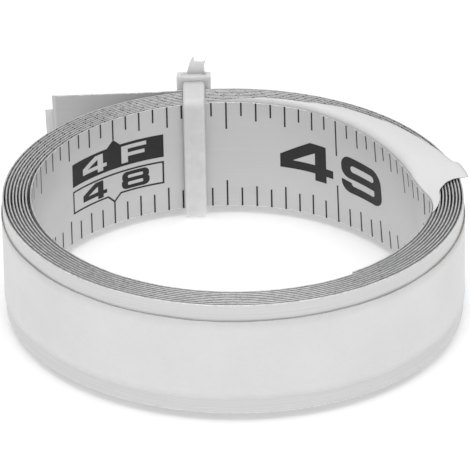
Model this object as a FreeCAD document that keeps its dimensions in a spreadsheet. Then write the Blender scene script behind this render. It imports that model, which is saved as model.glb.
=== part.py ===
"""Self-adhesive bench tape, coiled on edge and held by a cable tie.

Frame: millimetres, +Z up. The origin is where the coil's axis meets the surface it stands on.
+Y is the side with the cable tie. Angles are counter-clockwise from +X, seen from above,
and grow from the blade's inner end to its outer end.
"""
import FreeCAD, Part
import math
import os
from FreeCAD import Placement, Rotation, Vector

SIZES = {
    # blade, adhesive and release liner
    "blade_width": 12.5,
    "blade_thickness": 0.15,
    "adhesive_width": 8.8,
    "adhesive_thickness": 0.05,
    "liner_width": 9.0,
    "liner_thickness": 0.07,
    "liner_bottom_margin": 1.7,
    # coil
    "inner_radius": 20.3,
    "turn_pitch": 0.34,
    "oval_step": 1.2,
    "oval_angle": 152,
    "inner_end_angle": -57,
    "liner_start_angle": 94,
    "outer_end_angle": 3335,
    # free outer end
    "root_run": 4.0,
    "lead_in_run": 11.9,
    "lead_in_turn": 3,
    "lead_in_slant": 0.35,
    "flexure_gap": 0.06,
    "liner_overhang": 0.8,
    "liner_corner": 0.6,
    # peeled inner end of the liner
    "tab_first_angle": 52,
    "tab_last_angle": 8,
    "tab_thickness": 0.2,
    "tab_clearance": 0.12,
    "peel_root_height": 4.5,
    "peel_root_rise": 0.5,
    # cable tie
    "tie_place": 98.0,
    "tie_angle": 90.0,
    "strap_width": 2.3,
    "strap_thickness": 0.65,
    "tooth_height": 0.25,
    "tooth_pitch": 0.62,
    "tooth_width": 1.7,
    "tooth_length": 0.5,
    "upright_margin": 1.0,
    "cross_margin": 0.9,
    "tie_clearance": 0.05,
    "corner_radius": 0.7,
    "bend_radius": 3,
    "root_strap_lift": 0.15,
    "head_width": 3.65,
    "head_height": 2.65,
    "head_tilt": 20,
    "head_clearance": 0.15,
    "head_back": 1.25,
    "slot_width": 2.6,
    "slot_depth": 1.2,
    "slot_setback": 1.95,
    "slot_drop": 0.77,
    "pawl_room": 0.6,
    "pawl_width": 1.5,
    "pawl_length": 1.6,
    "pawl_shoulder": 0.8,
    "pawl_foot": 0.3,
    "pawl_thickness": 0.3,
    "pawl_clearance": 0.02,
    "pawl_hook": 0.05,
}

doc = FreeCAD.newDocument("bench_tape")
sheet = doc.addObject("Spreadsheet::Sheet", "sizes")
for row, (alias, number) in enumerate(SIZES.items(), start=1):
    sheet.set("A%d" % row, alias)
    sheet.set("B%d" % row, str(number))
    sheet.setAlias("B%d" % row, alias)
doc.recompute()

Z_UP = Vector(0, 0, 1)
TOOTH_FOOT = 0.02       # how far a tooth's foot goes into the band it stands on
NODES = []


def size(alias):
    return float(sheet.get(alias))


def direction(angle):
    """Unit vector in plan at an angle in degrees."""
    return Vector(math.cos(math.radians(angle)), math.sin(math.radians(angle)), 0)


def add_node(name, shape, placement=Placement()):
    """Put a solid made with Part's functions into the document."""
    node = doc.addObject("Part::Feature", name)
    node.Label = name
    node.Shape = shape
    node.Placement = placement
    NODES.append(node)
    return node


# ---- levels ----------------------------------------------------------------------------------

blade_base = size("strap_thickness") + size("tooth_height") + size("tie_clearance")
blade_top = blade_base + size("blade_width")
liner_base = blade_base + size("liner_bottom_margin")
adhesive_base = liner_base + (size("liner_width") - size("adhesive_width")) / 2
adhesive_face = size("blade_thickness") + size("adhesive_thickness")
liner_face = adhesive_face + size("liner_thickness")


# ---- the coil's path: an oval spiral of tangent quarter arcs -----------------------------------

def quarter_arcs():
    """(centre, radius, first angle, last angle) of each quarter of the blade's printed face.

    Quarters on the long axis are tighter by oval_step and the others flatter by it. Each one
    starts where the last ended, with the same tangent, and each turn grows by turn_pitch.
    """
    step = size("oval_step")
    first = size("oval_angle") - 225
    centre = direction(first + 45) * (math.sqrt(2) * step)
    arcs = []
    radius = size("inner_radius") - step
    while first < size("outer_end_angle"):
        arcs.append((centre, radius, first, first + 90))
        first += 90
        quarter = len(arcs)
        mean_radius = size("inner_radius") + size("turn_pitch") * quarter / 4
        next_radius = mean_radius + (step if quarter % 2 else -step)
        centre = centre + direction(first) * (radius - next_radius)
        radius = next_radius
    return arcs


ARCS = quarter_arcs()


def path_point(angle, offset=0.0):
    """Point on the spiral at an angle, offset outward from the printed face."""
    for centre, radius, first, last in ARCS:
        if first <= angle <= last:
            return centre + direction(angle) * (radius + offset)
    raise ValueError("angle %s is off the coil" % angle)


def side_edges(first_angle, last_angle, offset):
    """The arcs of one side of a ribbon, between two angles."""
    edges = []
    for centre, radius, first, last in ARCS:
        start = max(first, first_angle)
        end = min(last, last_angle)
        if start < end:
            circle = Part.Circle(centre, Z_UP, radius + offset)
            edges.append(circle.toShape(math.radians(start), math.radians(end)))
    return edges


def ribbon(first_angle, last_angle, inner, outer, height, straight=0.0):
    """A strip on edge along the spiral, with an optional straight run at its outer end."""
    run = direction(last_angle + 90) * straight
    inner_end = path_point(last_angle, inner)
    outer_end = path_point(last_angle, outer)
    edges = side_edges(first_angle, last_angle, inner) + side_edges(first_angle, last_angle, outer)
    edges.append(Part.makeLine(path_point(first_angle, inner), path_point(first_angle, outer)))
    if straight:
        edges.append(Part.makeLine(inner_end, inner_end + run))
        edges.append(Part.makeLine(outer_end, outer_end + run))
    edges.append(Part.makeLine(inner_end + run, outer_end + run))
    outline = Part.Wire(Part.__sortEdges__(edges))
    return Part.Face(outline).extrude(Z_UP * height)


inner_end_angle = size("inner_end_angle")
outer_end_angle = size("outer_end_angle")
root_run = size("root_run")

blade_thickness = size("blade_thickness")
add_node("blade_coil",
         ribbon(inner_end_angle, outer_end_angle, 0, blade_thickness, size("blade_width"), root_run),
         Placement(Z_UP * blade_base, Rotation()))
add_node("adhesive_coil",
         ribbon(inner_end_angle, outer_end_angle, blade_thickness, adhesive_face,
                size("adhesive_width"), root_run),
         Placement(Z_UP * adhesive_base, Rotation()))
add_node("liner_coil",
         ribbon(size("liner_start_angle"), outer_end_angle, adhesive_face, liner_face,
                size("liner_width"), root_run),
         Placement(Z_UP * liner_base, Rotation()))


# ---- the free outer end ------------------------------------------------------------------------
# Its own frame: X along the strip away from the coil, Y inward, Z up.

lead_in_frame = Placement(
    path_point(outer_end_angle) + direction(outer_end_angle + 90) * root_run,
    Rotation(Z_UP, outer_end_angle + 90 - size("lead_in_turn")))
flexure_gap = size("flexure_gap")


def plane_of(body, role):
    """One of a PartDesign body's own origin planes."""
    return [f for f in body.Origin.OriginFeatures if f.Role == role][0]


def outline_sketch(body, name, points):
    """A closed outline of straight lines on the body's XZ plane."""
    sketch = body.newObject("Sketcher::SketchObject", name)
    sketch.AttachmentSupport = [(plane_of(body, "XZ_Plane"), "")]
    sketch.MapMode = "FlatFace"
    corners = [Vector(x, z, 0) for x, z in points]
    for start, end in zip(corners, corners[1:] + corners[:1]):
        sketch.addGeometry(Part.LineSegment(start, end))
    return sketch


def plate(name, outline, width_alias, frame, centred):
    """A PartDesign pad of an outline; centred on its plane, or all on the -Y side of it."""
    body = doc.addObject("PartDesign::Body", name)
    body.Label = name
    pad = body.newObject("PartDesign::Pad", name + "_pad")
    pad.Profile = outline_sketch(body, name + "_outline", outline)
    pad.setExpression("Length", "sizes." + width_alias)
    pad.SideType = "Symmetric" if centred else "One side"
    body.Tip = pad
    body.Placement = frame
    NODES.append(body)
    return body


def lead_in_layer(name, first, last, base, top, offset, thickness_alias, snip=0.0, slant=0.0):
    """One layer of the free end: a strip with snipped corners or a slanted cut."""
    outline = [(first, base), (last - snip - slant, base)]
    if snip:
        outline += [(last, base + snip), (last, top - snip)]
    outline += [(last - snip, top), (first, top)]
    frame = lead_in_frame * Placement(Vector(0, -offset, 0), Rotation())
    return plate(name, outline, thickness_alias, frame, centred=False)


blade_end = flexure_gap + size("lead_in_run")
liner_end = blade_end + size("liner_overhang")
liner_top = liner_base + size("liner_width")
adhesive_top = adhesive_base + size("adhesive_width")
lead_in_layer("blade_lead_in", flexure_gap, blade_end, blade_base, blade_top, 0,
              "blade_thickness", slant=size("lead_in_slant"))
lead_in_layer("adhesive_lead_in", flexure_gap, blade_end - size("lead_in_slant"), adhesive_base,
              adhesive_top, blade_thickness, "adhesive_thickness")
lead_in_layer("liner_outer_tail", flexure_gap, liner_end, liner_base, liner_top,
              adhesive_face, "liner_thickness", snip=size("liner_corner"))


# ---- the peeled inner end of the liner ---------------------------------------------------------

tab_first_angle = size("tab_first_angle")
gap_middle = (adhesive_face + size("turn_pitch")) / 2
peel_half = size("liner_thickness") / 2
root_height = size("peel_root_height")
add_node("liner_peel_root",
         ribbon(tab_first_angle, size("liner_start_angle"), gap_middle - peel_half,
                gap_middle + peel_half, root_height),
         Placement(Z_UP * (blade_top + size("peel_root_rise") - root_height), Rotation()))

# Each section of the tab: angle at its inner edge, angle at its outer edge, reach outward over
# the rims and rise above them at the outer edge.
TAB_SECTIONS = [
    (tab_first_angle - 1, tab_first_angle - 1, 2.2, 0.5),
    (36, 38, 3.4, 0.6),
    (18, 22, 4.5, 0.7),
    (-1, size("tab_last_angle"), 5.3, 0.6),
]


def tab_section(inner_angle, outer_angle, reach, rise):
    """A thin slice of the tab, from the innermost gap out over the rims."""
    floor = blade_top + size("tab_clearance")
    inner = path_point(inner_angle, gap_middle) + Z_UP * floor
    outer = path_point(outer_angle, reach) + Z_UP * (floor + rise)
    thickness = Z_UP * size("tab_thickness")
    return Part.makePolygon([inner, outer, outer + thickness, inner + thickness, inner])


add_node("liner_peel_tab",
         Part.makeLoft([tab_section(*section) for section in TAB_SECTIONS], True, True))


# ---- cable tie ---------------------------------------------------------------------------------
# Its own frame: X outward through the coil's wall, Y along the coil, Z up. The tie sits slightly
# askew: it crosses the coil at tie_place and faces tie_angle.

tie_place = size("tie_place")
tie_angle = size("tie_angle")
strap_width = size("strap_width")
outward = direction(tie_angle)
along = direction(tie_angle + 90)
askew = math.tan(math.radians(tie_place - tie_angle))
wall_inner = path_point(tie_place).dot(outward) - askew * strap_width / 2
wall_outer = max(path_point(outer_end_angle - step, liner_face).dot(outward)
                 for step in range(4))
tie_frame = Placement(along * path_point(tie_place).dot(along), Rotation(Z_UP, tie_angle))

band = size("strap_thickness")
tooth = size("tooth_height")
clearance = size("tie_clearance")
tilt = size("head_tilt")
head_height = size("head_height")
head_front = wall_outer + size("head_clearance")
slot_x = head_front + size("slot_setback")
slot_z = blade_top - size("slot_drop")


def in_head(across, up):
    """Tie-frame (x, z) of a point given across and along the tilted slot, from its middle."""
    cosine = math.cos(math.radians(tilt))
    sine = math.sin(math.radians(tilt))
    return (slot_x + across * cosine + up * sine, slot_z - across * sine + up * cosine)


def front_point(up):
    """Where a line across the slot, at a height along it, meets the head's upright front."""
    cosine = math.cos(math.radians(tilt))
    sine = math.sin(math.radians(tilt))
    return in_head((head_front - slot_x - up * sine) / cosine, up)


def tangent_path(points, radii):
    """A wire of straight runs through (x, z) points, its corners rounded by tangent arcs."""
    corners = [Vector(x, 0, z) for x, z in points]
    edges = []
    start = corners[0]
    for before, corner, after, radius in zip(corners, corners[1:], corners[2:], radii):
        back = (before - corner).normalize()
        ahead = (after - corner).normalize()
        half_turn = back.getAngle(ahead) / 2
        setback = radius / math.tan(half_turn)
        middle = (back + ahead).normalize()
        nearest = corner + middle * (radius / math.sin(half_turn) - radius)
        edges.append(Part.makeLine(start, corner + back * setback))
        arc = Part.Arc(corner + back * setback, nearest, corner + ahead * setback)
        edges.append(arc.toShape())
        start = corner + ahead * setback
    edges.append(Part.makeLine(start, corners[-1]))
    return Part.Wire(edges)


def teeth(start, end, margin, facing):
    """Ratchet teeth on a straight run of the band, from margin to margin, on its facing side."""
    first = Vector(start[0], 0, start[1])
    run = Vector(end[0], 0, end[1]) - first
    step = Vector(run).normalize()
    width = size("tooth_width")
    foot = facing * (band / 2 - TOOTH_FOOT)
    tip = facing * (band / 2 + tooth)
    pitch = size("tooth_pitch")
    count = int((run.Length - 2 * margin) / pitch)
    solids = []
    for number in range(count):
        heel = first + step * (margin + number * pitch) - Vector(0, width / 2, 0)
        toe = heel + step * size("tooth_length")
        outline = Part.makePolygon([heel + foot, toe + foot, toe + tip, heel + foot])
        solids.append(Part.Face(outline).extrude(Vector(0, width, 0)))
    return solids


inner_x = wall_inner - clearance - tooth - band / 2
outer_x = wall_outer + clearance + tooth + band / 2
top_z = blade_top + size("root_strap_lift") + band / 2
bottom_z = band / 2
bend_z = slot_z - (slot_x - outer_x) / math.tan(math.radians(tilt))
slot_exit = in_head(0, head_height / 2)
strap_points = [(head_front, top_z), (inner_x, top_z), (inner_x, bottom_z),
                (outer_x, bottom_z), (outer_x, bend_z), slot_exit]
corner_radius = size("corner_radius")
strap_path = tangent_path(strap_points, [corner_radius] * 3 + [size("bend_radius")])
section = Part.makePolygon([
    Vector(head_front, y, top_z + z)
    for y, z in [(-strap_width / 2, -band / 2), (strap_width / 2, -band / 2),
                 (strap_width / 2, band / 2), (-strap_width / 2, band / 2),
                 (-strap_width / 2, -band / 2)]])
strap = strap_path.makePipeShell([section], True, False)
slot_facing = Vector(-math.cos(math.radians(tilt)), 0, math.sin(math.radians(tilt)))
upright_margin = size("upright_margin")
cross_margin = size("cross_margin")
strap_teeth = (teeth(strap_points[1], strap_points[2], upright_margin, Vector(1, 0, 0))
               + teeth(strap_points[2], strap_points[3], cross_margin, Vector(0, 0, 1))
               + teeth(strap_points[3], strap_points[4], upright_margin, Vector(-1, 0, 0))
               + teeth(strap_points[4], strap_points[5], cross_margin, slot_facing))
add_node("tie_strap", strap.multiFuse(strap_teeth), tie_frame)

head = plate("tie_head",
             [front_point(head_height / 2), in_head(size("head_back"), head_height / 2),
              in_head(size("head_back"), -head_height / 2), front_point(-head_height / 2)],
             "head_width", tie_frame, centred=True)
doc.recompute()
solid_head = head.Shape.Volume
half_slot = size("slot_depth") / 2
pawl_foot = -head_height / 2 + size("pawl_foot")
ledge = pawl_foot - size("pawl_clearance")      # the shelf that the pawl is hinged to
pocket = head.newObject("PartDesign::Pocket", "tie_head_slot")
room_front = -half_slot - size("pawl_room")
pocket.Profile = outline_sketch(head, "tie_head_slot_outline", [
    in_head(half_slot, head_height), in_head(room_front, head_height),
    in_head(room_front, ledge), in_head(-half_slot, ledge),
    in_head(-half_slot, -head_height), in_head(half_slot, -head_height)])
pocket.setExpression("Length", "sizes.slot_width")
pocket.SideType = "Symmetric"
head.Tip = pocket

pawl_back = half_slot + size("pawl_clearance")
pawl_front = pawl_back + size("pawl_thickness")
pawl_length = size("pawl_length")
plate("tie_pawl",
      [in_head(-pawl_front, pawl_foot), in_head(-pawl_back, pawl_foot),
       in_head(-pawl_back, pawl_foot + size("pawl_shoulder")),
       in_head(-pawl_back + size("pawl_hook"), pawl_foot + pawl_length),
       in_head(-pawl_front, pawl_foot + pawl_length)],
      "pawl_width", tie_frame, centred=True)

# The cut stub: Y along the coil, Z up the slot. The cutter left two horns and a hollow.
tail_outline = [(0.75, 0), (-1.2, 0), (-1.13, 0.8), (-1.32, 1.5), (-1.07, 1.26), (-0.12, 1.26),
                (0.02, 1.9), (0.42, 1.18)]
tail_frame = tie_frame * Placement(Vector(slot_exit[0], 0, slot_exit[1]),
                                   Rotation(Vector(0, 1, 0), tilt))
tail_face = Part.Face(Part.makePolygon([Vector(-band / 2, y, z) for y, z in
                                        tail_outline + tail_outline[:1]]))
add_node("tie_cut_tail", tail_face.extrude(Vector(band, 0, 0)), tail_frame)


# ---- check and write ---------------------------------------------------------------------------

doc.recompute()
if head.Shape.Volume > 0.95 * solid_head:
    raise RuntimeError("the slot isn't cut through the tie's head")
for item in doc.Objects:
    if "Invalid" in item.State or "Error" in item.State:
        raise RuntimeError("%s failed to recompute" % item.Name)
for node in NODES:
    if node.Shape.isNull() or not node.Shape.isValid():
        raise RuntimeError("%s has no valid shape" % node.Label)
os.makedirs("parts", exist_ok=True)
for node in NODES:
    node.Shape.exportStep("parts/%s.step" % node.Label)

blade_length = sum(edge.Length for edge in side_edges(inner_end_angle, outer_end_angle, 0))
print("blade length on the coil %.1f mm" % blade_length)
for node in NODES:
    print("%-18s %8.2f mm3  %s" % (node.Label, node.Shape.Volume, node.Shape.BoundBox))
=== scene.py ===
"""The looks of the coiled bench tape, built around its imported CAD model.

Lengths are in millimetres until a mesh is made. +Z is up and +Y is the side with the cable tie.
Angles are counter-clockwise from +X, seen from above, and grow from the inner end outward.
"along" is a length on the blade's printed face from its inner end, "offset" is a distance
outward from that face, and "height" is above the floor.
"""

import bisect
import math

import bmesh
import bpy
from mathutils import Matrix, Vector, noise


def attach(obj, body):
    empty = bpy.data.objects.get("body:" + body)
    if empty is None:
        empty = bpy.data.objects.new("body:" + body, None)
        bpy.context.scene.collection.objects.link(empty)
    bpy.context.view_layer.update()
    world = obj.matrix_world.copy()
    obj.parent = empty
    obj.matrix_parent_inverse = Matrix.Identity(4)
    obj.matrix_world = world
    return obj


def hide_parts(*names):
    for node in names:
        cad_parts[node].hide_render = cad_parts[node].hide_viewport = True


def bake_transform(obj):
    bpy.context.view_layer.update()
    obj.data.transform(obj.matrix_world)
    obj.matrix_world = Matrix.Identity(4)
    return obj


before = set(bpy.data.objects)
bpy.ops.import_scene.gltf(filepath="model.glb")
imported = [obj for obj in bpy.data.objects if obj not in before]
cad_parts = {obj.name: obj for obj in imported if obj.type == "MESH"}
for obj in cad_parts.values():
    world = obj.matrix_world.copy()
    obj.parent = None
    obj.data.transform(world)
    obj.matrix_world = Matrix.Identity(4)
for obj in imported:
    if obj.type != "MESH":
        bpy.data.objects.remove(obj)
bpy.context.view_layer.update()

MM = 0.001
INCH = 25.4

# the strip, as in the CAD model
BLADE_WIDTH = 12.5
BLADE_THICKNESS = 0.15
ADHESIVE_WIDTH = 8.8
ADHESIVE_FACE = 0.2
LINER_WIDTH = 9.0
LINER_THICKNESS = 0.07
BLADE_BASE = 0.95
BLADE_TOP = BLADE_BASE + BLADE_WIDTH
LINER_BASE = BLADE_BASE + 1.7
LINER_TOP = LINER_BASE + LINER_WIDTH
ADHESIVE_BASE = LINER_BASE + 0.1

# the coil, as in the CAD model
INNER_RADIUS = 20.3
TURN_PITCH = 0.34
OVAL_STEP = 1.2
OVAL_ANGLE = 152
INNER_END = -57
LINER_START = 94
OUTER_END = 3335
ROOT_RUN = 4.0
LEAD_IN_RUN = 11.96
LEAD_IN_TURN = 3
LEAD_IN_SLANT = 0.35
LINER_OVERHANG = 0.8
TIE_PLACE = 98.0        # where the tie crosses the coil
TIE_ANGLE = 90.0        # the way it faces: slightly askew

# the printed scale: where 48 inches falls on the innermost turn
MARK_ANGLE = 124.6
MARK_INCHES = 48


# ---- small helpers ---------------------------------------------------------------------------

def unit(angle):
    """Unit vector in plan at an angle in degrees."""
    return Vector((math.cos(math.radians(angle)), math.sin(math.radians(angle)), 0))


def smoothstep(low, high, value):
    """0 below low, 1 above high, and a smooth rise between."""
    t = min(max((value - low) / (high - low), 0.0), 1.0)
    return t * t * (3 - 2 * t)


def through(keys, value):
    """A smooth curve through (value, result) keys in rising order, level beyond them."""
    if value <= keys[0][0]:
        return keys[0][1]
    if value >= keys[-1][0]:
        return keys[-1][1]
    index = bisect.bisect_right([key[0] for key in keys], value) - 1

    def slope(i):
        before = keys[max(i - 1, 0)]
        after = keys[min(i + 1, len(keys) - 1)]
        return (after[1] - before[1]) / (after[0] - before[0])

    (x0, y0), (x1, y1) = keys[index], keys[index + 1]
    span = x1 - x0
    t = (value - x0) / span
    rise = y0 + (y1 - y0) * t * t * (3 - 2 * t)
    bend = slope(index) * t * (1 - t) ** 2 - slope(index + 1) * t * t * (1 - t)
    return rise + span * bend


def ripple(value, seed, wavelength):
    """Repeatable smooth noise between about -1 and 1 along a line."""
    return noise.noise(Vector((value / wavelength, seed * 7.3, seed * 3.1)))


def corner_arc(before, corner, after, radius, segments):
    """Points of the arc that rounds a corner between two straight sides, in a plane."""
    corner = Vector(corner)
    back = (Vector(before) - corner).normalized()
    ahead = (Vector(after) - corner).normalized()
    half = back.angle(ahead) / 2
    centre = corner + (back + ahead).normalized() * (radius / math.sin(half))
    first = corner + back * (radius / math.tan(half)) - centre
    last = corner + ahead * (radius / math.tan(half)) - centre
    points = []
    for step in range(segments + 1):
        share = step / segments
        points.append(centre + first.lerp(last, share).normalized() * radius)
    return points


def make_object(name, points, faces, materials, face_materials=None, strip=None, smooth=True):
    """An object from points in millimetres; strip gives each point's (along, height, offset)."""
    mesh = bpy.data.meshes.new(name)
    mesh.from_pydata([Vector(point) * MM for point in points], [], faces)
    for material in materials:
        mesh.materials.append(material)
    if face_materials:
        mesh.polygons.foreach_set("material_index", face_materials)
    mesh.polygons.foreach_set("use_smooth", [smooth] * len(mesh.polygons))
    if strip:
        attribute = mesh.attributes.new("strip", "FLOAT_VECTOR", "POINT")
        attribute.data.foreach_set("vector", [c for triple in strip for c in triple])
    mesh.validate()
    mesh.update()
    piece = bpy.data.objects.new(name, mesh)
    bpy.context.scene.collection.objects.link(piece)
    return piece


# ---- the strip's path ------------------------------------------------------------------------

FIRST_ANGLE = OVAL_ANGLE - 225      # where the spiral's first quarter begins


def quarter_arcs():
    """(centre, radius) of each quarter turn of the printed face, as in the CAD model."""
    first = FIRST_ANGLE
    centre = unit(first + 45) * (math.sqrt(2) * OVAL_STEP)
    radius = INNER_RADIUS - OVAL_STEP
    arcs = []
    while first < OUTER_END:
        arcs.append((centre, radius))
        first += 90
        quarter = len(arcs)
        mean_radius = INNER_RADIUS + TURN_PITCH * quarter / 4
        next_radius = mean_radius + (OVAL_STEP if quarter % 2 else -OVAL_STEP)
        centre = centre + unit(first) * (radius - next_radius)
        radius = next_radius
    return arcs


ARCS = quarter_arcs()

# How far the peeled liner pushes the top edge of the innermost turn into the bore, by angle.
LEAN = [(-14, 0.0), (-9, -0.04), (-2.75, -0.5), (1, -1.05), (6, -1.55), (12, -1.82), (27, -1.86),
        (41, -1.5), (55, -0.9), (67, -0.3), (84, 0.0)]
LEAN_AT_BOTTOM = 0.38
# A loose spot on the left, where the innermost turn stands off the next one.
LOOSE_ANGLE = 186
LOOSE_WIDTH = 26
LOOSE_GAP = 0.14
# Everywhere but at the tie and the outer end, the strip wanders a little from the even spiral.
WANDER = 0.022
WANDER_LENGTH = 37      # degrees
TIE_HOLD = 14           # degrees either side of the tie that it holds true


def drift(angle, height):
    """How far the strip stands off the even spiral."""
    up = (height - BLADE_BASE) / BLADE_WIDTH
    lean = through(LEAN, angle) * (LEAN_AT_BOTTOM + (1 - LEAN_AT_BOTTOM) * up)
    loose = -LOOSE_GAP * math.exp(-((angle - LOOSE_ANGLE) / LOOSE_WIDTH) ** 2)
    from_tie = (angle - TIE_PLACE + 180) % 360 - 180
    tied = 1 - math.exp(-(from_tie / TIE_HOLD) ** 2)
    ends = smoothstep(OUTER_END, OUTER_END - 50, angle)
    return lean + loose + WANDER * ripple(angle, 1, WANDER_LENGTH) * tied * ends


def path_point(angle, offset=0.0):
    """Point on the even spiral at an angle."""
    centre, radius = ARCS[min(int((angle - FIRST_ANGLE) // 90), len(ARCS) - 1)]
    return centre + unit(angle) * (radius + offset)


def length_table():
    """Angles along the path, and the length of the printed face's middle up to each."""
    step = 0.5
    middle = (BLADE_BASE + BLADE_TOP) / 2
    angles = [INNER_END + step * i for i in range(int((OUTER_END - INNER_END) / step) + 1)]
    lengths = [0.0]
    last = path_point(angles[0], drift(angles[0], middle))
    for angle in angles[1:]:
        point = path_point(angle, drift(angle, middle))
        lengths.append(lengths[-1] + (point - last).length)
        last = point
    return angles, lengths


ANGLES, LENGTHS = length_table()
ARC_LENGTH = LENGTHS[-1]
HINGE = ARC_LENGTH + ROOT_RUN
BEND_RUN = 1.6          # the length over which the free end turns away from the coil


def along_at(angle):
    index = min(bisect.bisect_right(ANGLES, angle) - 1, len(ANGLES) - 2)
    share = (angle - ANGLES[index]) / (ANGLES[index + 1] - ANGLES[index])
    return LENGTHS[index] + share * (LENGTHS[index + 1] - LENGTHS[index])


def angle_at(along):
    index = min(max(bisect.bisect_right(LENGTHS, along) - 1, 0), len(LENGTHS) - 2)
    share = (along - LENGTHS[index]) / (LENGTHS[index + 1] - LENGTHS[index])
    return ANGLES[index] + share * (ANGLES[index + 1] - ANGLES[index])


def on_strip(along, offset, height):
    """Point in space for a point of the strip."""
    if along <= ARC_LENGTH:
        angle = angle_at(along)
        point = path_point(angle, offset + drift(angle, height))
    else:
        past_hinge = max(along - HINGE, 0.0)
        bent = min(past_hinge, BEND_RUN)
        swing = bent * bent / (2 * BEND_RUN) + (past_hinge - bent)
        outward = offset + swing * math.tan(math.radians(LEAD_IN_TURN))
        point = path_point(OUTER_END, outward) + unit(OUTER_END + 90) * (along - ARC_LENGTH)
    return Vector((point.x, point.y, height))


def stations(first, last, step):
    count = max(1, math.ceil((last - first) / step))
    return [first + (last - first) * i / count for i in range(count + 1)]


def square_cut(along, height):
    """No slant: every height keeps its place along the strip."""
    return along


def sweep(name, first, last, step, section, materials, cut=square_cut):
    """A closed strip; section(along) lists its (offset, height, material index) going round.

    cut(along, height) moves points along the strip, for an end that isn't square.
    """
    points, strip, faces, face_materials = [], [], [], []
    places = stations(first, last, step)
    for row, along in enumerate(places):
        ring = section(along)
        size = len(ring)
        for offset, height, _ in ring:
            points.append(on_strip(cut(along, height), offset, height))
            strip.append((along, height, offset))
        if row:
            start = (row - 1) * size
            for i, (_, _, slot) in enumerate(ring):
                j = (i + 1) % size
                faces.append((start + i, start + size + i, start + size + j, start + j))
                face_materials.append(slot)
    last_row = (len(places) - 1) * size
    faces.append(tuple(range(size)))
    faces.append(tuple(last_row + i for i in reversed(range(size))))
    end_slot = min(1, len(materials) - 1)
    face_materials += [end_slot, end_slot]
    return make_object(name, points, faces, materials, face_materials, strip)


# ---- materials -------------------------------------------------------------------------------

def grey(level, warmth=0.0):
    """Linear colour for a display grey level from 0 to 255, warmed by a few levels."""
    def linear(value):
        share = value / 255
        return share / 12.92 if share <= 0.04045 else ((share + 0.055) / 1.055) ** 2.4
    return (linear(level + warmth), linear(level), linear(level - warmth), 1.0)


class Look:
    """A procedural material under construction."""

    def __init__(self, name, roughness, metallic=0.0):
        self.material = bpy.data.materials.new(name)
        self.material.use_nodes = True
        self.tree = self.material.node_tree
        self.shader = self.tree.nodes["Principled BSDF"]
        self.shader.inputs["Roughness"].default_value = roughness
        self.shader.inputs["Metallic"].default_value = metallic

    def node(self, kind, **settings):
        made = self.tree.nodes.new(kind)
        for key, value in settings.items():
            setattr(made, key, value)
        return made

    def link(self, source, target):
        self.tree.links.new(source, target)
        return target

    def strip_place(self, scale):
        """The strip's own (along, height, offset) in millimetres, scaled."""
        source = self.node("ShaderNodeAttribute", attribute_name="strip")
        mapping = self.node("ShaderNodeMapping")
        mapping.inputs["Scale"].default_value = scale
        self.link(source.outputs["Vector"], mapping.inputs["Vector"])
        return mapping.outputs["Vector"]

    def object_place(self, scale):
        """The object's own coordinates in millimetres, scaled."""
        source = self.node("ShaderNodeTexCoord")
        mapping = self.node("ShaderNodeMapping")
        mapping.inputs["Scale"].default_value = [s / MM for s in scale]
        self.link(source.outputs["Object"], mapping.inputs["Vector"])
        return mapping.outputs["Vector"]

    def noise(self, place, scale=1.0, detail=3.0, roughness=0.5):
        made = self.node("ShaderNodeTexNoise")
        made.inputs["Scale"].default_value = scale
        made.inputs["Detail"].default_value = detail
        made.inputs["Roughness"].default_value = roughness
        self.link(place, made.inputs["Vector"])
        return made.outputs["Fac"]

    def spread(self, value, low, high, start=0.3, end=0.7):
        """The value, stretched from start..end to low..high."""
        made = self.node("ShaderNodeMapRange")
        made.inputs["From Min"].default_value = start
        made.inputs["From Max"].default_value = end
        made.inputs["To Min"].default_value = low
        made.inputs["To Max"].default_value = high
        self.link(value, made.inputs["Value"])
        return made.outputs["Result"]

    def tint(self, value, dark, light):
        """A colour between two, by a value from 0 to 1."""
        made = self.node("ShaderNodeMix", data_type="RGBA")
        colours = [socket for socket in made.inputs if socket.type == "RGBA"]
        colours[0].default_value = dark
        colours[1].default_value = light
        self.link(value, made.inputs["Factor"])
        return [socket for socket in made.outputs if socket.type == "RGBA"][0]

    def paint(self, colour):
        self.link(colour, self.shader.inputs["Base Color"])

    def bump(self, value, height):
        """Relief of a height in millimetres."""
        made = self.node("ShaderNodeBump")
        made.inputs["Strength"].default_value = 1.0
        made.inputs["Distance"].default_value = height * MM
        self.link(value, made.inputs["Height"])
        self.link(made.outputs["Normal"], self.shader.inputs["Normal"])

    def vary_roughness(self, value, low, high):
        self.link(self.spread(value, low, high), self.shader.inputs["Roughness"])


def steel_face():
    """Satin lacquered steel, with faint rolling marks along the strip."""
    look = Look("steel_printed_face", 0.42, 0.25)
    rolled = look.noise(look.strip_place((0.05, 9.0, 1.0)), detail=4)
    cloud = look.noise(look.strip_place((0.12, 0.2, 1.0)), detail=2)
    both = look.node("ShaderNodeMath", operation="ADD")
    look.link(look.spread(rolled, 0.0, 0.45), both.inputs[0])
    look.link(look.spread(cloud, 0.0, 0.55), both.inputs[1])
    look.paint(look.tint(both.outputs[0], grey(203), grey(213)))
    look.vary_roughness(rolled, 0.38, 0.5)
    look.bump(rolled, 0.0015)
    return look.material


def steel_rim():
    """The slit edge: brighter metal with small nicks and scratches across it."""
    look = Look("steel_slit_edge", 0.32, 0.55)
    nicks = look.noise(look.strip_place((2.6, 1.0, 9.0)), detail=5, roughness=0.7)
    look.paint(look.tint(look.spread(nicks, 0.0, 1.0, 0.25, 0.6), grey(178), grey(242)))
    look.vary_roughness(nicks, 0.25, 0.5)
    look.bump(nicks, 0.006)
    return look.material


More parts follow.
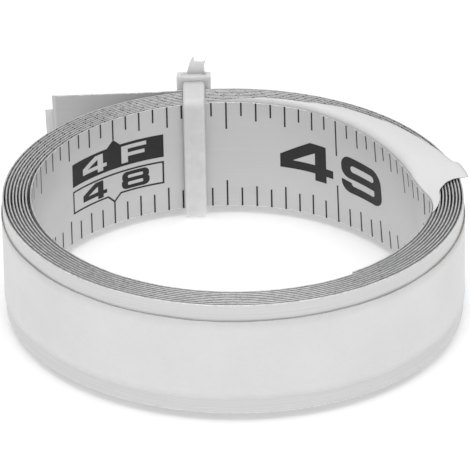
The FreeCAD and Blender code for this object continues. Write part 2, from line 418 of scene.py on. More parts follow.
def steel_back():
    """The blade's plain side, above and below the liner."""
    look = Look("steel_back_face", 0.4, 0.3)
    rolled = look.noise(look.strip_place((0.06, 7.0, 1.0)), detail=4)
    look.paint(look.tint(look.spread(rolled, 0.0, 1.0), grey(208), grey(219)))
    look.vary_roughness(rolled, 0.36, 0.5)
    look.bump(rolled, 0.0015)
    return look.material


def black_ink():
    look = Look("black_ink", 0.55)
    worn = look.noise(look.strip_place((1.6, 1.6, 1.0)), detail=5, roughness=0.65)
    look.paint(look.tint(look.spread(worn, 0.0, 1.0), grey(14), grey(26)))
    look.vary_roughness(worn, 0.5, 0.65)
    look.bump(worn, 0.001)
    return look.material


def adhesive_film():
    look = Look("adhesive_film", 0.35)
    cloud = look.noise(look.strip_place((0.5, 0.5, 1.0)), detail=3)
    look.paint(look.tint(look.spread(cloud, 0.0, 1.0), grey(170, 8), grey(196, 6)))
    look.bump(cloud, 0.004)
    return look.material


def liner_paper(name, place_of, dark, light):
    """Glazed release paper: a fine fibre mottle under a soft sheen."""
    look = Look(name, 0.55)
    place = place_of(look)
    fibres = look.noise(place, scale=2.2, detail=6, roughness=0.7)
    cloud = look.noise(place, scale=0.12, detail=3)
    both = look.node("ShaderNodeMath", operation="ADD")
    look.link(look.spread(fibres, 0.0, 0.35), both.inputs[0])
    look.link(look.spread(cloud, 0.0, 0.65), both.inputs[1])
    look.paint(look.tint(both.outputs[0], dark, light))
    look.vary_roughness(fibres, 0.48, 0.62)
    look.bump(both.outputs[0], 0.012)
    look.shader.inputs["Sheen Weight"].default_value = 0.15
    look.shader.inputs["Sheen Roughness"].default_value = 0.5
    return look.material


def paper_edge():
    """The paper's cut or torn edge, browner than its face."""
    look = Look("liner_paper_edge", 0.8)
    fibres = look.noise(look.object_place((1.0, 1.0, 1.0)), scale=3.0, detail=4)
    look.paint(look.tint(look.spread(fibres, 0.0, 1.0), grey(150, 10), grey(205, 6)))
    look.bump(fibres, 0.01)
    return look.material


def nylon():
    """Natural nylon: milky, with light spreading under the surface."""
    look = Look("natural_nylon", 0.42)
    cloud = look.noise(look.object_place((1.0, 1.0, 1.0)), scale=0.8, detail=4)
    look.paint(look.tint(look.spread(cloud, 0.0, 1.0), grey(222), grey(232)))
    look.shader.inputs["Subsurface Weight"].default_value = 0.7
    look.shader.inputs["Subsurface Radius"].default_value = (1.0, 1.0, 1.0)
    look.shader.inputs["Subsurface Scale"].default_value = 0.9 * MM
    look.vary_roughness(cloud, 0.36, 0.5)
    look.bump(cloud, 0.006)
    return look.material


STEEL_FACE = steel_face()
STEEL_RIM = steel_rim()
STEEL_BACK = steel_back()
INK = black_ink()
ADHESIVE = adhesive_film()
LINER = liner_paper("liner_paper", lambda look: look.strip_place((1, 1, 1)),
                    grey(221), grey(231))
# Painted light: the peeled flap gets a lighter copy of the liner paper, for its top that faces the
# overhead lamp.
LIT_FLAP_PAPER = liner_paper("liner_paper_peeled_painted_light", lambda look: look.object_place((1, 1, 1)),
                         grey(236), grey(243))
PAPER_EDGE = paper_edge()
NYLON = nylon()


# ---- blade and adhesive ----------------------------------------------------------------------

PRINTED, RIM, BACK = 0, 1, 2
EDGE_RADIUS = 0.04
EDGE_SUPPORT = 0.05     # a loop beside each rounded edge that keeps the flats' shading flat
FACE_ROWS = 8           # so that the leaning face twists evenly under the ink


def blade_section(along):
    """The blade's outline: two flats and two rounded slit edges with a slight burr."""
    ring = []
    for top in (False, True):
        edge = BLADE_TOP if top else BLADE_BASE
        edge += 0.012 * ripple(along, 3 if top else 4, 1.3)
        outward = 1 if top else -1
        sides = (BLADE_THICKNESS, 0.0) if top else (0.0, BLADE_THICKNESS)
        flats = (BACK, PRINTED) if top else (PRINTED, BACK)
        for side, flat in zip(sides, flats):
            inward = 1 if side == 0.0 else -1
            corner = [(side, edge - outward * (EDGE_RADIUS + EDGE_SUPPORT), RIM)]
            for turn in (0, 30, 60, 90):
                swing = math.radians(turn)
                corner.append((side + inward * EDGE_RADIUS * (1 - math.cos(swing)),
                               edge - outward * EDGE_RADIUS * (1 - math.sin(swing)), RIM))
            starts_flat = side == sides[0]
            if not starts_flat:
                corner.reverse()
                offset, height, _ = corner[-1]
                corner[-1] = (offset, height, flat)
            ring += corner
    for row in reversed(range(1, FACE_ROWS)):
        ring.append((0.0, BLADE_BASE + BLADE_WIDTH * row / FACE_ROWS, PRINTED))
    return ring


BLADE_STEP = 0.55
ADHESIVE_STEP = 0.9
LINER_STEP = 0.5
FREE_END_STEP = 0.4
ADHESIVE_START = 0.3
FILM_GAP = 0.002        # keeps the film's faces off the steel and the paper


def adhesive_section(along):
    top = ADHESIVE_BASE + ADHESIVE_WIDTH
    inner, outer = BLADE_THICKNESS + FILM_GAP, ADHESIVE_FACE - FILM_GAP
    return [(inner, ADHESIVE_BASE, 0), (outer, ADHESIVE_BASE, 0), (outer, top, 0), (inner, top, 0)]


steels = [STEEL_FACE, STEEL_RIM, STEEL_BACK]
blade = sweep("blade", 0.0, HINGE, BLADE_STEP, blade_section, steels)
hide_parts("blade_coil")
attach(blade, "coil")

adhesive = sweep("adhesive", ADHESIVE_START, HINGE, ADHESIVE_STEP, adhesive_section, [ADHESIVE])
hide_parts("adhesive_coil")
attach(adhesive, "coil")


# ---- release liner ---------------------------------------------------------------------------

LINER_COLUMNS = 8
OUTER_TURN = along_at(OUTER_END - 362)      # where the turn that can be seen from outside begins
LOOSENING = 12          # the length over which its edges start to lift
LINER_RAG = 0.07        # how far the cut edges wander
LINER_LIFT = 0.05       # how far the outer turn's edges stand off


def liner_section(along):
    """The liner's outline; on the outer turn its edges wander and curl a little."""
    loose = smoothstep(OUTER_TURN, OUTER_TURN + LOOSENING, along)
    base = LINER_BASE + loose * LINER_RAG * (ripple(along, 5, 5.0) + 0.4 * ripple(along, 6, 1.1))
    top = LINER_TOP + loose * LINER_RAG * (ripple(along, 7, 6.5) + 0.4 * ripple(along, 8, 1.3))
    inner = ADHESIVE_FACE
    outside = []
    for column in range(LINER_COLUMNS + 1):
        share = column / LINER_COLUMNS
        height = base + (top - base) * share
        curl = abs(2 * share - 1) ** 5
        lift = curl * LINER_LIFT * (0.6 + ripple(along, 9 if share > 0.5 else 10, 4.0))
        wave = 0.03 * (ripple(along + 9 * share, 11, 8.0) + 0.5)
        outside.append((inner + loose * max(0.0, lift + wave), height))
    faces = [(offset + LINER_THICKNESS, height, 0) for offset, height in outside]
    ring = [(offset, height, 0) for offset, height in reversed(outside)]
    for side in (faces, ring):
        offset, height, _ = side[-1]
        side[-1] = (offset, height, 1)
    return faces + ring


papers = [LINER, PAPER_EDGE]
liner = sweep("liner", along_at(LINER_START), HINGE, LINER_STEP, liner_section, papers)
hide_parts("liner_coil")
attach(liner, "coil")


# ---- the free outer end ----------------------------------------------------------------------
# It bends just past the hinge, and each layer is a piece of its own that starts there.

def slanted_cut(along, height):
    """The foot of the free end stops short of its head."""
    foot = (BLADE_TOP - height) / BLADE_WIDTH
    return along - LEAD_IN_SLANT * foot * (along - HINGE) / LEAD_IN_RUN


def lead_in_layer(name, length, section, materials, node, gap=0.01):
    layer = sweep(name, HINGE + gap, HINGE + length, FREE_END_STEP, section, materials,
                  slanted_cut)
    hinge_point = on_strip(HINGE, 0.0, BLADE_BASE) * MM
    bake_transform(layer)
    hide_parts(node)
    return layer


lead_in_layer("blade_end", LEAD_IN_RUN, blade_section, steels,
              "blade_lead_in")
lead_in_layer("adhesive_end", LEAD_IN_RUN, adhesive_section, [ADHESIVE],
              "adhesive_lead_in")
lead_in_layer("liner_end", LEAD_IN_RUN + LINER_OVERHANG, liner_section, papers,
              "liner_outer_tail", gap=0.07)


# ---- printed scale ---------------------------------------------------------------------------

INK_LIFT = 0.004        # the ink's gap to the face, so that no facet cuts through it
INK_DEPTH = 0.008
TICK_WIDTH = 0.18
MARK_ALONG = along_at(MARK_ANGLE)

# Tick lengths by how many sixteenths they count: from the top edge, and from the bottom edge.
TICKS = {16: (4.3, 4.55), 8: (3.2, 3.1), 4: (2.5, 2.75), 2: (2.2, 2.45), 1: (1.65, 2.2)}
FOOT_TICK = (2.4, 2.75)


def along_of(inches):
    """Where a reading falls on the strip. Readings grow towards the inner end."""
    return MARK_ALONG - (inches - MARK_INCHES) * INCH


class Print:
    """Solid ink shapes gathered into one mesh."""

    def __init__(self):
        self.points, self.strip, self.faces = [], [], []

    def add(self, points, faces):
        """Points are (along, height, level): level 0 lies by the face and 1 faces the bore."""
        first = len(self.points)
        for along, height, level in points:
            offset = -INK_LIFT - level * INK_DEPTH
            self.points.append(on_strip(along, offset, height))
            self.strip.append((along, height, offset))
        self.faces += [tuple(first + i for i in face) for face in faces]

    def tick(self, along, low, high):
        corners = [(along - TICK_WIDTH / 2, low), (along + TICK_WIDTH / 2, low),
                   (along + TICK_WIDTH / 2, high), (along - TICK_WIDTH / 2, high)]
        points = [(a, h, level) for level in (0, 1) for a, h in corners]
        sides = [(i, (i + 1) % 4, (i + 1) % 4 + 4, i + 4) for i in range(4)]
        self.add(points, [(3, 2, 1, 0), (4, 5, 6, 7)] + sides)


def tick_kind(sixteenths):
    for step in (16, 8, 4, 2, 1):
        if sixteenths % step == 0:
            return step
    return 1


def print_ticks(sheet):
    last = int((MARK_INCHES + (MARK_ALONG - 0.4) / INCH) * 16)
    for sixteenths in range(last + 1):
        along = along_of(sixteenths / 16)
        if along > HINGE - 0.4:
            continue
        top, bottom = TICKS[tick_kind(sixteenths)]
        if sixteenths and sixteenths % 192 == 0:
            top, bottom = FOOT_TICK
        sheet.tick(along, BLADE_TOP - top, BLADE_TOP - 0.03)
        sheet.tick(along, BLADE_BASE + 0.03, BLADE_BASE + bottom)


# Wide block numerals on a 6.2 by 4.4 field: closed outlines of (x, y, corner radius).
FIELD = (6.2, 4.4)


def box_outline(x0, y0, x1, y1, radius):
    return [(x0, y0, radius), (x1, y0, radius), (x1, y1, radius), (x0, y1, radius)]


NINE = [[(0, 1.45, 0), (0, 0, 1.2), (6.2, 0, 1.4), (6.2, 4.4, 1.5), (0, 4.4, 1.2), (0, 1.75, 1.1),
         (4.9, 1.75, 0), (4.9, 0.95, 0.3), (1.55, 0.95, 0.2), (1.35, 1.3, 0)],
        box_outline(1.3, 2.65, 4.9, 3.45, 0.38)]
SIX = [[(6.2 - x, 4.4 - y, radius) for x, y, radius in outline] for outline in NINE]
GLYPHS = {
    "0": [box_outline(0, 0, 6.2, 4.4, 1.4), box_outline(1.3, 0.95, 4.9, 3.45, 0.5)],
    "1": [[(2.6, 0, 0), (4.0, 0, 0), (4.0, 4.4, 0), (2.9, 4.4, 0.2), (1.4, 3.2, 0), (1.4, 2.2, 0),
           (2.6, 3.0, 0)]],
    "2": [[(0, 0, 0), (6.2, 0, 0), (6.2, 0.95, 0), (1.3, 0.95, 0), (1.3, 1.72, 0.2),
           (6.2, 1.72, 1.0), (6.2, 4.4, 1.4), (0, 4.4, 1.2), (0, 3.0, 0), (1.3, 3.0, 0),
           (1.3, 3.45, 0.2), (4.9, 3.45, 0.3), (4.9, 2.68, 0.3), (0, 2.68, 1.0)]],
    "3": [[(0, 1.4, 0), (0, 0, 1.2), (6.2, 0, 1.3), (6.2, 4.4, 1.3), (0, 4.4, 1.2), (0, 3.0, 0),
           (1.3, 3.0, 0), (1.3, 3.45, 0.2), (4.9, 3.45, 0.3), (4.9, 2.68, 0.3), (1.9, 2.68, 0),
           (1.9, 1.72, 0), (4.9, 1.72, 0.3), (4.9, 0.95, 0.3), (1.3, 0.95, 0.2), (1.3, 1.4, 0)]],
    "4": [[(0, 0.85, 0), (4.0, 0.85, 0), (4.0, 0, 0), (5.4, 0, 0), (5.4, 0.85, 0),
           (6.3, 0.85, 0), (6.3, 1.8, 0), (5.4, 1.8, 0), (5.4, 4.4, 0), (3.4, 4.4, 0),
           (0, 2.45, 0)],
          [(1.4, 1.85, 0), (4.0, 1.85, 0), (4.0, 3.3, 0)]],
    "5": [[(0, 1.4, 0), (0, 0, 1.2), (6.2, 0, 1.4), (6.2, 2.75, 1.2), (1.3, 2.75, 0),
           (1.3, 3.45, 0), (5.9, 3.45, 0), (5.9, 4.4, 0), (0, 4.4, 0), (0, 1.8, 0),
           (4.9, 1.8, 0.3), (4.9, 0.95, 0.3), (1.3, 0.95, 0.2), (1.3, 1.4, 0)]],
    "6": SIX,
    "7": [[(1.0, 0, 0), (2.7, 0, 0), (6.2, 3.2, 0), (6.2, 4.4, 0), (0, 4.4, 0), (0, 3.4, 0),
           (4.5, 3.4, 0)]],
    "8": [[(0, 0, 1.2), (6.2, 0, 1.2), (6.2, 2.1, 0.5), (5.75, 2.3, 0.1), (6.1, 2.5, 0.4),
           (6.1, 4.4, 1.1), (0.1, 4.4, 1.1), (0.1, 2.5, 0.4), (0.45, 2.3, 0.1), (0, 2.1, 0.5)],
          box_outline(1.4, 0.9, 4.8, 1.75, 0.3), box_outline(1.4, 2.7, 4.8, 3.5, 0.3)],
    "9": NINE,
    "F": [[(0, 0, 0), (1.5, 0, 0), (1.5, 1.5, 0), (5.2, 1.5, 0), (5.2, 2.45, 0), (1.5, 2.45, 0),
           (1.5, 3.4, 0), (5.6, 3.4, 0), (5.6, 4.4, 0), (0, 4.4, 0)]],
}


def rounded(outline, segments=5):
    """The outline's points, with arcs at the corners that have a radius."""
    points = []
    for i, (x, y, radius) in enumerate(outline):
        corner = Vector((x, y))
        if not radius:
            points.append(corner)
            continue
        after = outline[(i + 1) % len(outline)][:2]
        points += corner_arc(outline[i - 1][:2], corner, after, radius, segments)
    return points


def filled(outlines):
    """A flat solid with nested outlines cut out of each other, as (points, faces)."""
    curve = bpy.data.curves.new("outline", "CURVE")
    curve.dimensions = "2D"
    curve.fill_mode = "BOTH"
    curve.extrude = 0.5
    for outline in outlines:
        spline = curve.splines.new("POLY")
        spline.points.add(len(outline) - 1)
        for point, (x, y) in zip(spline.points, outline):
            point.co = (x, y, 0, 1)
        spline.use_cyclic_u = True
    holder = bpy.data.objects.new("outline", curve)
    bpy.context.scene.collection.objects.link(holder)
    mesh = bpy.data.meshes.new_from_object(holder.evaluated_get(
        bpy.context.evaluated_depsgraph_get()))
    bpy.data.objects.remove(holder)
    work = bmesh.new()
    work.from_mesh(mesh)
    bmesh.ops.remove_doubles(work, verts=work.verts, dist=1e-4)
    widths = [vertex.co.x for vertex in work.verts]
    cut = math.floor(min(widths)) + 0.5
    while cut < max(widths):
        everything = list(work.verts) + list(work.edges) + list(work.faces)
        bmesh.ops.bisect_plane(work, geom=everything, dist=1e-5, plane_co=(cut, 0, 0),
                               plane_no=(1, 0, 0))
        cut += 0.6
    bmesh.ops.recalc_face_normals(work, faces=work.faces)
    work.verts.index_update()
    points = [tuple(vertex.co) for vertex in work.verts]
    faces = [tuple(vertex.index for vertex in reversed(face.verts)) for face in work.faces]
    work.free()
    bpy.data.meshes.remove(mesh)
    bpy.data.curves.remove(curve)
    return points, faces


def placed(outlines, x, y, width, height):
    """A glyph's outlines in a box of a width and height, its lower left at (x, y)."""
    across = width / FIELD[0]
    up = height / FIELD[1]
    return [[(x + point[0] * across, y + point[1] * up) for point in rounded(outline)]
            for outline in outlines]


def print_flat(sheet, solid, inches):
    """Lay a flat solid on the printed face, its origin at a reading on the bottom edge."""
    points, faces = solid
    centre = along_of(inches)
    sheet.add([(centre - x, BLADE_BASE + y, 0.5 + z) for x, y, z in points], faces)


NUMERAL_HEIGHT = 4.4
NUMERAL_WIDTH = 6.3
NUMERAL_GAP = 1.25
NUMERAL_BASE = BLADE_WIDTH - 8.2
GLYPH_SOLIDS = {key: filled(placed(outlines, 0, NUMERAL_BASE, NUMERAL_WIDTH, NUMERAL_HEIGHT))
                for key, outlines in GLYPHS.items() if key != "F"}


def print_numeral(sheet, number):
    digits = str(number)
    advance = NUMERAL_WIDTH + NUMERAL_GAP
    start = -(len(digits) * advance - NUMERAL_GAP) / 2
    for place, digit in enumerate(digits):
        points, faces = GLYPH_SOLIDS[digit]
        shift = start + place * advance
        print_flat(sheet, ([(x + shift, y, z) for x, y, z in points], faces), number)


MARKER_HALF = 5.9
ARROW_HALF = 0.85
SMALL_GLYPH = (3.3, 2.05)


def pointed_box(low, high, tip):
    """A box outline with an arrow point in the middle of its top or bottom side."""
    if tip > high:
        return [(-MARKER_HALF, low), (MARKER_HALF, low), (MARKER_HALF, high),
                (ARROW_HALF, high), (0, tip), (-ARROW_HALF, high), (-MARKER_HALF, high)]
    return [(-MARKER_HALF, low), (-ARROW_HALF, low), (0, tip), (ARROW_HALF, low),
            (MARKER_HALF, low), (MARKER_HALF, high), (-MARKER_HALF, high)]


def inset(outline, distance):
    """The outline moved inwards; it runs counter-clockwise."""
    moved = []
    for i, point in enumerate(outline):
        corner = Vector(point)
        before = (corner - Vector(outline[i - 1])).normalized()
        after = (Vector(outline[(i + 1) % len(outline)]) - corner).normalized()
        left_before = Vector((-before.y, before.x))
        left_after = Vector((-after.y, after.x))
        middle = (left_before + left_after).normalized()
        moved.append(corner + middle * (distance / middle.dot(left_before)))
    return moved


def print_foot_mark(sheet, feet):
    """The two-part foot mark: reversed feet above, outlined inches below."""
    width, height = SMALL_GLYPH
    upper_low, upper_high = BLADE_WIDTH - 5.9, BLADE_WIDTH - 3.2
    lower_low, lower_high = BLADE_WIDTH - 9.1, BLADE_WIDTH - 6.4
    upper_base = (upper_low + upper_high - height) / 2
    lower_base = (lower_low + lower_high - height) / 2
    upper = [pointed_box(upper_low, upper_high, BLADE_WIDTH - 2.4)]
    upper += placed(GLYPHS[str(feet)], -4.25, upper_base, width, height)
    upper += placed(GLYPHS["F"], 0.98, upper_base, width, height)
    print_flat(sheet, filled(upper), feet * 12)
    frame_outline = pointed_box(lower_low, lower_high, BLADE_WIDTH - 9.95)
    print_flat(sheet, filled([frame_outline, inset(frame_outline, 0.19)]), feet * 12)
    tens, ones = divmod(feet * 12, 10)
    for digit, x in ((tens, -4.3), (ones, 0.95)):
        small = filled(placed(GLYPHS[str(digit)], x, lower_base, width, height))
        print_flat(sheet, small, feet * 12)


scale_print = Print()
print_ticks(scale_print)
last_inch = int(MARK_INCHES + (MARK_ALONG - 8) / INCH)
for inch in range(1, last_inch + 1):
    if inch % 12:
        print_numeral(scale_print, inch)
    else:
        print_foot_mark(scale_print, inch // 12)
print_piece = make_object("printed_scale", scale_print.points, scale_print.faces, [INK],
                          strip=scale_print.strip, smooth=False)
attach(print_piece, "coil")


# ---- the peeled inner end of the liner -------------------------------------------------------
# It climbs out of the innermost gap, then leans outward until it lies over the rims.

# The free edge, by angle: its reach outward from the even spiral's innermost turn.
FLAP_REACH = [(7, 4.05), (10, 3.95), (14.6, 3.62), (15.8, 3.15), (22, 2.6), (37, 1.8), (57, 1.05),
              (68, 0.42), (85, 0.25), (95, 0.22)]
FLAP_CREST = [(-8, 0.05), (2, 0.12), (9, 0.3), (18, 0.75), (30, 0.85), (50, 0.72), (66, 0.5),
              (85, 0.3), (95, 0.05)]
FLAP_EDGE_RISE = [(-8, 0.02), (4, 0.04), (12, 0.3), (30, 0.42), (50, 0.42), (66, 0.46),
                  (85, 0.32), (95, 0.08)]
# The torn end, from the hidden edge to the free edge: share of the width, and angle.
FLAP_END = [(0.0, -13.0), (0.3, -11.4), (0.48, -6.0), (0.58, -0.4), (0.78, 5.6), (1.0, 7.4)]
FLAP_ROOT = 1.3         # how deep the flap goes into the gap
FLAP_GAP = 0.29         # from the innermost face to the flap's outer face, down in the gap
FLAP_ROWS = 190
FLAP_COLUMNS = 26
FLAP_BENT = 0.16        # share of the columns that is down in the gap


def flap_point(row_share, column_share):
    """A point of the flap: row 0 is its root at the tie, column 0 is its hidden edge."""
    end = through(FLAP_END, column_share) + 0.7 * ripple(column_share, 21, 0.09)
    angle = LINER_START + (end - LINER_START) * row_share
    root = FLAP_GAP + drift(angle, BLADE_TOP)
    reach = through(FLAP_REACH, angle) + 0.035 * ripple(angle, 22, 2.2) - root
    crest = through(FLAP_CREST, angle)
    floor = BLADE_TOP + 0.03
    if column_share < FLAP_BENT:
        down = 1 - column_share / FLAP_BENT
        return path_point(angle, root) + Vector((0, 0, floor - FLAP_ROOT * down))
    t = (column_share - FLAP_BENT) / (1 - FLAP_BENT)
    weights = ((1 - t) ** 3, 3 * t * (1 - t) ** 2, 3 * t * t * (1 - t), t ** 3)
    outs = (0.0, 0.0, 0.4 * reach, reach)
    ups = (0.0, crest, 1.15 * crest, through(FLAP_EDGE_RISE, angle))
    offset = root + sum(w * out for w, out in zip(weights, outs))
    height = floor + sum(w * up for w, up in zip(weights, ups))
    loose = smoothstep(80, 60, angle) * t
    height += 0.05 * loose * ripple(angle + 9 * t, 23, 9.0)
    return path_point(angle, offset) + Vector((0, 0, height))


def build_flap():
    """A closed sheet: the flap's lower face, its upper face above it, and a rim round both."""
    rows, columns = FLAP_ROWS + 1, FLAP_COLUMNS + 1
    lower = [[flap_point(r / FLAP_ROWS, c / FLAP_COLUMNS) for c in range(columns)]
             for r in range(rows)]
    upper = []
    for r in range(rows):
        for c in range(columns):
            ahead = lower[min(r + 1, rows - 1)][c] - lower[max(r - 1, 0)][c]
            across = lower[r][min(c + 1, columns - 1)] - lower[r][max(c - 1, 0)]
            upper.append(lower[r][c] + ahead.cross(across).normalized() * LINER_THICKNESS)
    points = [point for row in lower for point in row] + upper
    over = rows * columns
    faces = []
    for r in range(FLAP_ROWS):
        for c in range(FLAP_COLUMNS):
            a = r * columns + c
            b = a + columns
            faces.append((a, a + 1, b + 1, b))
            faces.append((over + a, over + b, over + b + 1, over + a + 1))
    flat_faces = len(faces)
    rim = [r * columns for r in range(rows)]
    rim += [(rows - 1) * columns + c for c in range(1, columns)]
    rim += [r * columns + columns - 1 for r in reversed(range(rows - 1))]
    rim += [c for c in reversed(range(1, columns - 1))]
    for a, b in zip(rim, rim[1:] + rim[:1]):
        faces.append((a, b, over + b, over + a))
    slots = [0] * flat_faces + [1] * (len(faces) - flat_faces)
    return make_object("liner_flap", points, faces, [LIT_FLAP_PAPER, PAPER_EDGE], slots)


flap = build_flap()
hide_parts("liner_peel_root", "liner_peel_tab")
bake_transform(flap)


# ---- cable tie -------------------------------------------------------------------------------
# Its own frame, as in the CAD model: X outward through the wall, Y along the coil, Z up.

STRAP_WIDTH = 2.3
BAND = 0.65
TOOTH_HEIGHT = 0.25
TOOTH_PITCH = 0.62
TOOTH_WIDTH = 1.7
TIE_CLEARANCE = 0.05
EDGE_ROUND = 0.29       # how round the band's long edges are
CORNER_RADIUS = 0.7
BEND_RADIUS = 3
HEAD_TILT = math.radians(20)
HEAD_HEIGHT = 2.65
HEAD_CLEARANCE = 0.15
SLOT_SETBACK = 1.95
SLOT_DROP = 0.77
STRAP_LIFT = 0.15       # the strap's height above the coil's top
TOOTH_MARGIN = 0.9      # plain band at each end of a toothed run
# One tooth: how far along it a point is, and its share of the tooth's height.
TOOTH_PROFILE = [(0, 0.0), (0.3, 0.6), (0.5, 1.0), (0.52, 0.0)]
BACK_RIPPLE = 0.012     # the teeth show faintly on the strap's smooth side

tie_out = unit(TIE_ANGLE)
tie_along = unit(TIE_ANGLE + 90)
askew = math.tan(math.radians(TIE_PLACE - TIE_ANGLE))
tie_origin = tie_along * path_point(TIE_PLACE).dot(tie_along)
wall_inner = path_point(TIE_PLACE).dot(tie_out) - askew * STRAP_WIDTH / 2
wall_outer = max(path_point(OUTER_END - step, ADHESIVE_FACE + LINER_THICKNESS).dot(tie_out)
                 for step in range(4))
head_front = wall_outer + HEAD_CLEARANCE
slot_x = head_front + SLOT_SETBACK
slot_z = BLADE_TOP - SLOT_DROP
inner_x = wall_inner - TIE_CLEARANCE - TOOTH_HEIGHT - BAND / 2
outer_x = wall_outer + TIE_CLEARANCE + TOOTH_HEIGHT + BAND / 2
top_z = BLADE_TOP + STRAP_LIFT + BAND / 2
bend_z = slot_z - (slot_x - outer_x) / math.tan(HEAD_TILT)
slot_exit = (slot_x + math.sin(HEAD_TILT) * HEAD_HEIGHT / 2,
             slot_z + math.cos(HEAD_TILT) * HEAD_HEIGHT / 2)


def in_tie(x, y, z):
    return tie_origin + tie_out * x + tie_along * y + Vector((0, 0, z))


def rounded_path(corners, radii, arc_segments=9):
    """Points along straight runs whose corners are rounded."""
    path = [Vector(corners[0])]
    for before, corner, after, radius in zip(corners, corners[1:], corners[2:], radii):
        path += corner_arc(before, corner, after, radius, arc_segments)
    path.append(Vector(corners[-1]))
    return path


def strap_stations():
    """(x, z), heading, tooth height and length so far, along the band."""
    corners = [(head_front, top_z), (inner_x, top_z), (inner_x, BAND / 2),
               (outer_x, BAND / 2), (outer_x, bend_z), slot_exit]
    path = rounded_path(corners, [CORNER_RADIUS] * 3 + [BEND_RADIUS])
    rows = []
    travelled = 0.0
    for start, end in zip(path, path[1:]):
        run = (end - start).length
        heading = (end - start).normalized()
        rows.append((start, heading, 0.0, travelled))
        if run > 4 * TOOTH_PITCH:
            for number in range(int((run - 2 * TOOTH_MARGIN) / TOOTH_PITCH)):
                heel = TOOTH_MARGIN + number * TOOTH_PITCH
                for ahead, share in TOOTH_PROFILE:
                    rows.append((start + heading * (heel + ahead), heading,
                                 TOOTH_HEIGHT * share, travelled + heel + ahead))
        travelled += run
    rows.append((path[-1], heading, 0.0, travelled))
    return rows


def strap_corner(side, face):
    """Points round one of the band's long edges; side and face are each 1 or -1."""
    corner = []
    for turn in (0, 30, 60, 90):
        swing = math.radians(turn if side != face else 90 - turn)
        corner.append((side * (STRAP_WIDTH / 2 - EDGE_ROUND * (1 - math.sin(swing))),
                       face * (BAND / 2 - EDGE_ROUND * (1 - math.cos(swing)))))
    return corner


def strap_section(tooth, travelled):
    """(y, out) round the band; out is on the toothed side where it is positive."""
    half = BAND / 2
    foot = TOOTH_WIDTH / 2 + 0.02
    tip = TOOTH_WIDTH / 2
    rise = BACK_RIPPLE * math.sin(2 * math.pi * travelled / TOOTH_PITCH)
    teeth = [(foot, half), (tip, half + tooth), (-tip, half + tooth), (-foot, half)]
    back = [(y, -half - rise) for y in (-0.8, -0.3, 0.3, 0.8)]
    return (strap_corner(1, -1) + strap_corner(1, 1) + teeth
            + strap_corner(-1, 1) + strap_corner(-1, -1) + back)


def build_strap():
    points, faces = [], []
    rows = strap_stations()
    size = 0
    for row, (place, heading, tooth, travelled) in enumerate(rows):
        if 0 < row < len(rows) - 1:
            before = (place - rows[row - 1][0])
            after = (rows[row + 1][0] - place)
            if before.length > 1e-6 and after.length > 1e-6:
                heading = (before.normalized() + after.normalized()).normalized()
        side = Vector((-heading.y, heading.x))
        ring = strap_section(tooth, travelled)
        size = len(ring)
        for y, out in ring:
            spot = place + side * out
            points.append(in_tie(spot.x, y, spot.y))
        if row:
            start = (row - 1) * size
            for i in range(size):
                j = (i + 1) % size
                faces.append((start + i, start + j, start + size + j, start + size + i))
    faces.append(tuple(reversed(range(size))))
    faces.append(tuple((len(rows) - 1) * size + i for i in range(size)))
    return make_object("tie_band", points, faces, [NYLON])


strap = build_strap()
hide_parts("tie_strap")
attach(strap, "coil")


def rounded_copy(name, node, width, segments=3):
    """A CAD node's shape with its edges rounded."""
    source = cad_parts[node].data
    work = bmesh.new()
    work.from_mesh(source)
    bmesh.ops.remove_doubles(work, verts=work.verts, dist=1e-7)
    bmesh.ops.dissolve_limit(work, angle_limit=math.radians(1), verts=work.verts,
                             edges=work.edges)
    sharp = [edge for edge in work.edges if edge.calc_face_angle(0) > math.radians(20)]
    bmesh.ops.bevel(work, geom=sharp, offset=width * MM, segments=segments, profile=0.5,
                    affect="EDGES", clamp_overlap=True)
    bmesh.ops.recalc_face_normals(work, faces=work.faces)
    work.verts.index_update()
    points = [vertex.co / MM for vertex in work.verts]
    faces = [tuple(vertex.index for vertex in face.verts) for face in work.faces]
    work.free()
    piece = make_object(name, points, faces, [NYLON])
    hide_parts(node)
    return piece


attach(rounded_copy("tie_head_shell", "tie_head", 0.14), "coil")
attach(rounded_copy("tie_stub", "tie_cut_tail", 0.05, 2), "coil")
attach(rounded_copy("tie_tongue", "tie_pawl", 0.04, 2), "pawl")


# ---- floor, light and camera -----------------------------------------------------------------

def floor_material():
    look = Look("pale_floor", 0.8)
    cloud = look.noise(look.object_place((0.01, 0.01, 0.01)), scale=0.6, detail=3)
    look.paint(look.tint(look.spread(cloud, 0.0, 1.0), grey(246), grey(250)))
    look.shader.inputs["Emission Color"].default_value = (1, 1, 1, 1)
    look.shader.inputs["Emission Strength"].default_value = 0.3
    return look.material


def build_floor():
    side = 1500
    rings = 12
    points, faces = [], []
    for i in range(rings + 1):
        for j in range(rings + 1):
            points.append((side * (2 * i / rings - 1), side * (2 * j / rings - 1), 0))
    for i in range(rings):
        for j in range(rings):
            a = i * (rings + 1) + j
            faces.append((a, a + rings + 1, a + rings + 2, a + 1))
    return make_object("floor", points, faces, [floor_material()])


build_floor()


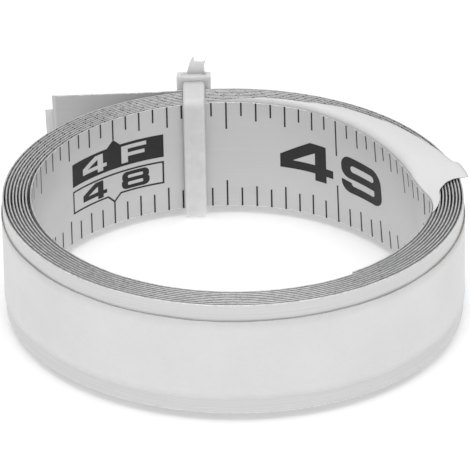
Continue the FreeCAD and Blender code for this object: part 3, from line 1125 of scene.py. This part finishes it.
def area_light(name, energy, size, place, target):
    lamp = bpy.data.lights.new(name, "AREA")
    lamp.energy = energy
    lamp.shape = "DISK"
    lamp.size = size
    holder = bpy.data.objects.new(name, lamp)
    bpy.context.scene.collection.objects.link(holder)
    holder.location = place
    holder.rotation_euler = (Vector(target) - Vector(place)).to_track_quat("-Z", "Y").to_euler()


world = bpy.data.worlds.new("studio")
bpy.context.scene.world = world
world.use_nodes = True
world.node_tree.nodes["Background"].inputs["Color"].default_value = (1, 1, 1, 1)
world.node_tree.nodes["Background"].inputs["Strength"].default_value = 0.45
area_light("overhead", 7.7, 1.2, (0.0, -0.1, 1.2), (0, 0, 0))
area_light("front", 1.7, 0.9, (0.1, -1.3, 0.5), (0, 0, 0))
bpy.context.scene.view_settings.view_transform = "Standard"

CAMERA_DISTANCE = 600
CAMERA_ELEVATION = 29.2
CAMERA_ROLL = -1.09
PICTURE_SIDE = 470
PIXELS_PER_MM = 9.663   # at the coil's middle
CENTRE_RIGHT = -1.8     # where the coil's middle falls in the picture, in pixels
CENTRE_UP = -11.2


def add_camera():
    up_angle = math.radians(CAMERA_ELEVATION)
    roll = math.radians(CAMERA_ROLL)
    back = Vector((0, -math.cos(up_angle), math.sin(up_angle)))
    level = Vector((1, 0, 0))
    upright = back.cross(level)
    right = level * math.cos(roll) + upright * math.sin(roll)
    up = upright * math.cos(roll) - level * math.sin(roll)
    middle = Vector((0, 0, (BLADE_BASE + BLADE_TOP) / 2))
    aim = middle - right * (CENTRE_RIGHT / PIXELS_PER_MM) - up * (CENTRE_UP / PIXELS_PER_MM)
    data = bpy.data.cameras.new("camera")
    data.sensor_width = 36
    data.lens = data.sensor_width * CAMERA_DISTANCE * PIXELS_PER_MM / PICTURE_SIDE
    data.clip_start = 0.01
    data.clip_end = 20
    holder = bpy.data.objects.new("camera", data)
    bpy.context.scene.collection.objects.link(holder)
    turn = Matrix((right, up, back)).transposed().to_4x4()
    holder.matrix_world = Matrix.Translation((aim + back * CAMERA_DISTANCE) * MM) @ turn
    bpy.context.scene.camera = holder


add_camera()
